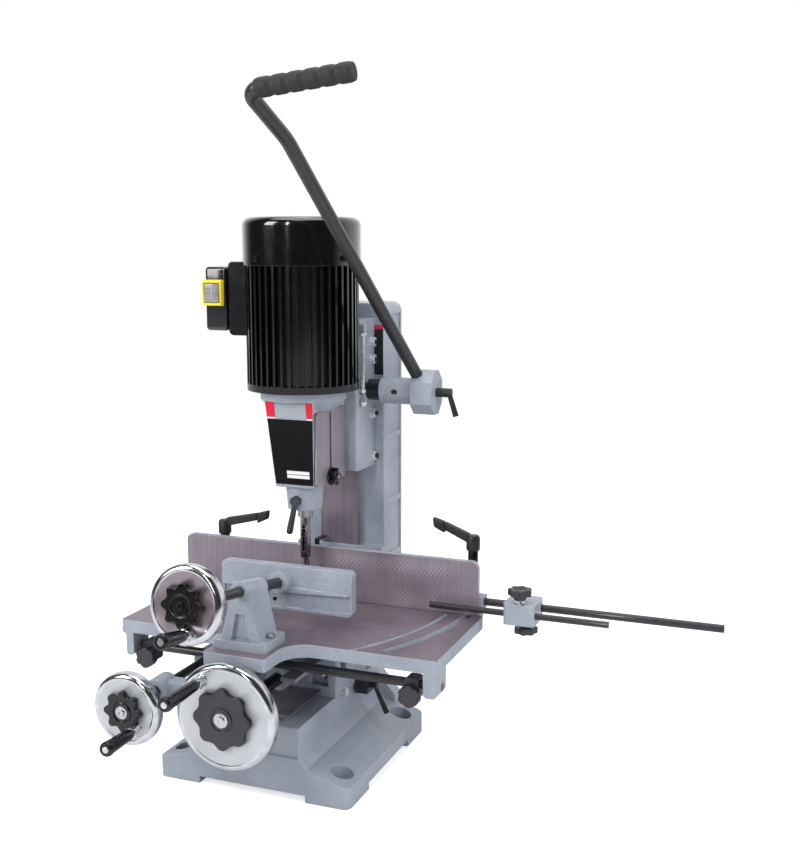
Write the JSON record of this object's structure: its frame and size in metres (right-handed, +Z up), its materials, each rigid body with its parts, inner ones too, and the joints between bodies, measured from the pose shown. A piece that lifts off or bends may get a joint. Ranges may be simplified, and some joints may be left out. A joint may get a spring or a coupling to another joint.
{
  "type": "hollow chisel mortiser",
  "caption": "Bench machine that cuts square mortises: tilting column, sliding motor head with feed lever, cross-slide table with hand wheels, fence with stop rods and screw vise.",
  "frame": {"origin": "centre of the bench bolt pattern, in the plane of the feet", "axes": "+Z up along the bench bolts, -Y towards the user, +X to the user's right"},
  "size_m": [0.903, 0.7067, 1.05],
  "materials": {
    "grey_paint": "satin",
    "black_paint": "gloss",
    "machined_iron": "machined",
    "bright_steel": "satin",
    "black_steel": "black oxide",
    "chrome": "polished",
    "black_plastic": "gloss",
    "grip_rubber": "satin",
    "yellow_plastic": "gloss",
    "flap_plastic": "gloss",
    "winding": "enamelled wire"
  },
  "bodies": {
    "base": {"base_casting": "grey_paint", "feed_bracket": "grey_paint", "tilt_bolts": "bright_steel"},
    "column": {"column_casting": "grey_paint", "column_way": "machined_iron", "feed_rack": "machined_iron"},
    "head": {"head_casting": "grey_paint", "head_gib": "machined_iron", "head_screws": "bright_steel", "motor_shell": "black_paint", "fan_cover": "black_paint", "stator": "winding", "motor_bearings": "bright_steel", "switch_box": "black_paint", "switch_bezel": "yellow_plastic", "chisel": "bright_steel"},
    "depth_stop": {"depth_stop_rod": "bright_steel"},
    "spindle": {"rotor": "bright_steel", "cooling_fan": "black_plastic", "drill_chuck": "bright_steel", "auger_bit": "bright_steel"},
    "switch": {"switch_paddle": "flap_plastic"},
    "chuck_door": {"chuck_cover": "grey_paint"},
    "door_knob": {"cover_knob": "black_plastic"},
    "chisel_clamp": {"chisel_lever": "black_plastic"},
    "feed_arm": {"pinion_shaft": "black_steel", "feed_hub": "grey_paint", "feed_lever": "black_steel", "feed_grip": "grip_rubber"},
    "hub_clamp": {"hub_handle": "black_plastic"},
    "saddle": {"saddle_casting": "grey_paint", "stop_plate": "bright_steel", "lock_block": "black_steel"},
    "saddle_clamp": {"lock_lever": "black_plastic"},
    "cross_screw": {"feed_screw": "black_steel", "small_wheel": "chrome", "small_star": "black_plastic"},
    "small_handle": {"small_grip": "black_plastic"},
    "table": {"table_casting": "machined_iron", "table_rack": "machined_iron", "stop_bar": "bright_steel", "vise_bracket": "grey_paint"},
    "cross_pinion": {"table_pinion": "black_steel", "big_wheel": "chrome", "big_star": "black_plastic"},
    "big_handle": {"big_grip": "black_plastic"},
    "left_stop": {"stop_left": "grey_paint"},
    "right_stop": {"stop_right": "grey_paint"},
    "fence": {"fence_plate": "machined_iron", "rear_rod": "black_steel"},
    "fence_clamp_left": {"fence_lever_left": "black_plastic"},
    "fence_clamp_right": {"fence_lever_right": "black_plastic"},
    "rod_block": {"rod_clamp": "grey_paint", "rod_knobs": "black_plastic"},
    "work_rod": {"front_rod": "black_steel"},
    "vise_jaw": {"vise_pad": "grey_paint"},
    "vise_spindle": {"vise_screw": "black_steel", "vise_wheel": "chrome", "vise_star": "black_plastic"},
    "vise_handle": {"vise_grip": "black_plastic"}
  },
  "joints": [
    {"name": "column_tilt", "type": "hinge", "parent": "base", "child": "column", "pos_m": [0, 0.16, 0.275], "axis": [0, 1, 0], "range_deg": [-45, 45]},
    {"name": "head_feed", "type": "slide", "parent": "column", "child": "head", "axis": [0, 0, 1], "range_m": [-0.05, 0]},
    {"name": "feed_arm_swing", "type": "hinge", "parent": "head", "child": "feed_arm", "pos_m": [0.12, 0.143, 0.59], "axis": [1, 0, 0], "range_deg": [0, 82]},
    {"name": "hub_clamp_turn", "type": "hinge", "parent": "feed_arm", "child": "hub_clamp", "pos_m": [0.21, 0.143, 0.59], "axis": [1, 0, 0], "range_deg": [-60, 60]},
    {"name": "depth_stop_slide", "type": "slide", "parent": "head", "child": "depth_stop", "axis": [0, 0, 1], "range_m": [-0.04, 0]},
    {"name": "spindle_spin", "type": "hinge", "parent": "head", "child": "spindle", "pos_m": [0, 0.04, 0.55], "axis": [0, 0, 1], "continuous": true},
    {"name": "switch_press", "type": "slide", "parent": "head", "child": "switch", "axis": [0, 1, 0], "range_m": [0, 0.002], "stiffness_N_per_m": 500},
    {"name": "chuck_door_slide", "type": "slide", "parent": "head", "child": "chuck_door", "axis": [0, 0, 1], "range_m": [-0.045, 0]},
    {"name": "door_knob_turn", "type": "hinge", "parent": "head", "child": "door_knob", "pos_m": [0.045, 0.05, 0.4575], "axis": [1, 0, 0], "continuous": true},
    {"name": "chisel_clamp_turn", "type": "hinge", "parent": "head", "child": "chisel_clamp", "pos_m": [0, 0.005, 0.422], "axis": [0, 1, 0], "range_deg": [-60, 60]},
    {"name": "saddle_feed", "type": "slide", "parent": "base", "child": "saddle", "axis": [0, -1, 0], "range_m": [-0.04, 0.01]},
    {"name": "saddle_clamp_turn", "type": "hinge", "parent": "saddle", "child": "saddle_clamp", "pos_m": [0.11, 0.062, 0.109], "axis": [1, 0, 0], "range_deg": [-60, 60]},
    {"name": "small_wheel_turn", "type": "hinge", "parent": "base", "child": "cross_screw", "pos_m": [-0.137, -0.2, 0.159], "axis": [0, 1, 0], "continuous": true},
    {"name": "small_handle_spin", "type": "hinge", "parent": "cross_screw", "child": "small_handle", "pos_m": [-0.117, -0.33, 0.134], "axis": [0, 1, 0], "continuous": true},
    {"name": "table_feed", "type": "slide", "parent": "saddle", "child": "table", "axis": [1, 0, 0], "range_m": [-0.15, 0.12]},
    {"name": "big_wheel_turn", "type": "hinge", "parent": "saddle", "child": "cross_pinion", "pos_m": [0.0148, -0.2, 0.162], "axis": [0, 1, 0], "continuous": true},
    {"name": "big_handle_spin", "type": "hinge", "parent": "cross_pinion", "child": "big_handle", "pos_m": [-0.0187, -0.3, 0.2143], "axis": [0, 1, 0], "continuous": true},
    {"name": "left_stop_slide", "type": "slide", "parent": "table", "child": "left_stop", "axis": [-1, 0, 0], "range_m": [-0.06, 0]},
    {"name": "right_stop_slide", "type": "slide", "parent": "table", "child": "right_stop", "axis": [-1, 0, 0], "range_m": [0, 0.06]},
    {"name": "fence_swing", "type": "hinge", "parent": "table", "child": "fence", "pos_m": [-0.177, 0.086, 0.255], "axis": [0, 0, -1], "range_deg": [0, 2]},
    {"name": "fence_clamp_left_turn", "type": "hinge", "parent": "fence", "child": "fence_clamp_left", "pos_m": [-0.177, 0.086, 0.34], "axis": [0, 0, 1], "range_deg": [-15, 60]},
    {"name": "fence_clamp_right_turn", "type": "hinge", "parent": "fence", "child": "fence_clamp_right", "pos_m": [0.273, 0.086, 0.34], "axis": [0, 0, 1], "range_deg": [-60, 15]},
    {"name": "rod_block_slide", "type": "slide", "parent": "fence", "child": "rod_block", "axis": [1, 0, 0], "range_m": [-0.03, 0.25]},
    {"name": "work_rod_slide", "type": "slide", "parent": "rod_block", "child": "work_rod", "axis": [1, 0, 0], "range_m": [-0.1, 0.1]},
    {"name": "vise_feed", "type": "slide", "parent": "table", "child": "vise_jaw", "axis": [0, 0.9877, -0.1564], "range_m": [-0.05, 0.08]},
    {"name": "vise_wheel_turn", "type": "hinge", "parent": "vise_jaw", "child": "vise_spindle", "pos_m": [0.0164, -0.1888, 0.3307], "axis": [0, 0.9877, -0.1564], "continuous": true},
    {"name": "vise_handle_spin", "type": "hinge", "parent": "vise_spindle", "child": "vise_handle", "pos_m": [0.0284, -0.35542, 0.32064], "axis": [0, 0.9877, -0.1564], "continuous": true}
  ],
  "couplings": [
    {"joint": "feed_arm_swing", "follows": "head_feed", "rad_per_m": -28.571},
    {"joint": "small_wheel_turn", "follows": "saddle_feed", "rad_per_m": 1570.8},
    {"joint": "big_wheel_turn", "follows": "table_feed", "rad_per_m": 62.5},
    {"joint": "vise_wheel_turn", "follows": "vise_feed", "rad_per_m": 1570.8}
  ]
}
